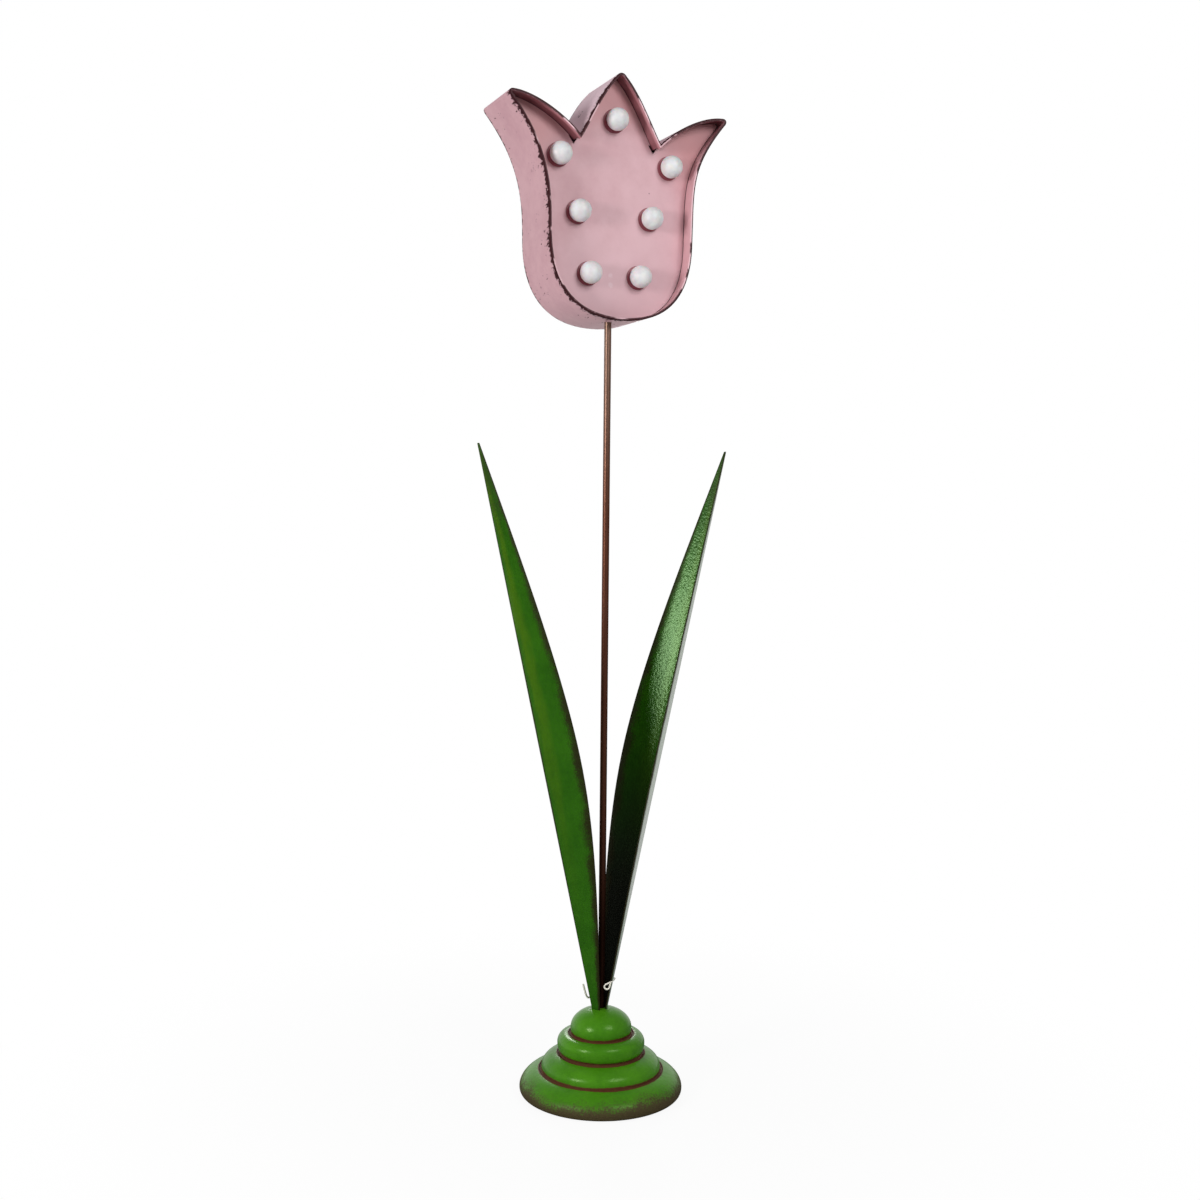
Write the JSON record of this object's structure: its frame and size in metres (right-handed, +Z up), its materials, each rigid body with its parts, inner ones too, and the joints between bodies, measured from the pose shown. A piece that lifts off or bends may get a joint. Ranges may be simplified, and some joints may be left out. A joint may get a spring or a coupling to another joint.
{
  "type": "light-up tulip decoration",
  "caption": "Free-standing painted metal tulip with white globe lights in its pink head, folded green leaves on a thin stem and a turned wooden base.",
  "frame": {"origin": "centre of the base's underside, on the rod's axis", "axes": "+Z up along the rod, the head's lit face towards -Y, +X to the right seen from the front"},
  "size_m": [0.2468, 0.1488, 0.915],
  "materials": {
    "pink_paint": "satin dusty pink paint on steel sheet, worn at the edges",
    "plum_plastic": "dark plum moulded plastic",
    "leaf_paint": "gloss green paint on steel sheet with an orange-peel texture, brown at the edges",
    "base_paint": "turned wood in gloss green paint with brown grooves and a worn brown foot",
    "rod_paint": "brown paint on a round steel rod, coppery near the head",
    "zinc": "zinc-plated steel",
    "felt": "dark felt",
    "frosted_white": "frosted white plastic globe caps",
    "lamp_clear": "clear epoxy lamp",
    "cable": "brown sheathed lead",
    "black_plastic": "black moulded plastic with a fine texture",
    "cell_sleeve": "printed sleeve, bare of any name",
    "nylon": "translucent white nylon"
  },
  "bodies": {
    "tulip": {"base_turning": "base_paint", "base_felt": "felt", "stem_nut": "zinc", "stem_washer": "zinc", "stem_rod": "rod_paint", "weld_lower": "zinc", "weld_upper": "zinc", "leaf_left": "leaf_paint", "leaf_right": "leaf_paint", "tag_loop": "nylon", "head_band": "pink_paint", "face_plate": "pink_paint", "bulb_globe_1": "frosted_white", "bulb_globe_2": "frosted_white", "bulb_globe_3": "frosted_white", "bulb_globe_4": "frosted_white", "bulb_globe_5": "frosted_white", "bulb_globe_6": "frosted_white", "bulb_globe_7": "frosted_white", "bulb_holder_1": "plum_plastic", "bulb_holder_2": "plum_plastic", "bulb_holder_3": "plum_plastic", "bulb_holder_4": "plum_plastic", "bulb_holder_5": "plum_plastic", "bulb_holder_6": "plum_plastic", "bulb_holder_7": "plum_plastic", "led_1": "lamp_clear", "led_2": "lamp_clear", "led_3": "lamp_clear", "led_4": "lamp_clear", "led_5": "lamp_clear", "led_6": "lamp_clear", "led_7": "lamp_clear", "led_lead": "cable", "switch_lead": "cable", "rear_cover": "pink_paint", "cover_tab_1": "pink_paint", "cover_tab_2": "pink_paint", "cover_tab_3": "pink_paint", "cover_tab_4": "pink_paint", "cover_screw_1": "zinc", "cover_screw_2": "zinc", "cover_screw_3": "zinc", "cover_screw_4": "zinc", "battery_box": "black_plastic", "aa_cell_1": "cell_sleeve", "aa_cell_2": "cell_sleeve", "contact_bridge": "zinc", "contact_spring": "zinc", "contact_stud": "zinc", "switch_body": "black_plastic", "switch_screw_1": "zinc", "switch_screw_2": "zinc"},
    "door": {"battery_door": "black_plastic"},
    "knob": {"switch_knob": "black_plastic"}
  },
  "joints": [
    {"name": "door_slide", "type": "slide", "parent": "tulip", "child": "door", "axis": [0, 0, 1], "range_m": [0, 0.062]},
    {"name": "knob_slide", "type": "slide", "parent": "tulip", "child": "knob", "axis": [1, 0, 0], "range_m": [0, 0.004]}
  ]
}
